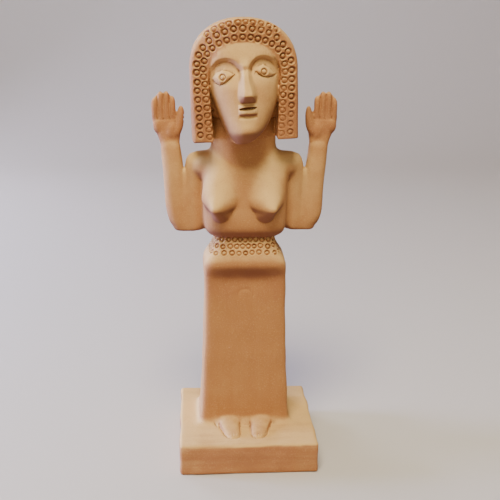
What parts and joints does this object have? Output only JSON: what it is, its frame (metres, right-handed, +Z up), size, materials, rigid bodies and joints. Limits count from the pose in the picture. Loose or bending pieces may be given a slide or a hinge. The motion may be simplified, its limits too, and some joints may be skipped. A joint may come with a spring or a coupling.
{
  "type": "terracotta goddess figurine",
  "caption": "Standing clay goddess with raised hands, ring-stamped hair and belt and a four-sided bell skirt, on a square plinth.",
  "frame": {"origin": "centre of the plinth's flat underside", "axes": "+Z up the figure, -Y the way the figure faces, +X to a viewer's right"},
  "size_m": [0.1162, 0.088, 0.2805],
  "materials": {
    "terracotta": "matt, unglazed, pale buff to salmon, faintly mottled and sandy"
  },
  "bodies": {
    "root": {"figurine": "terracotta"}
  },
  "joints": []
}
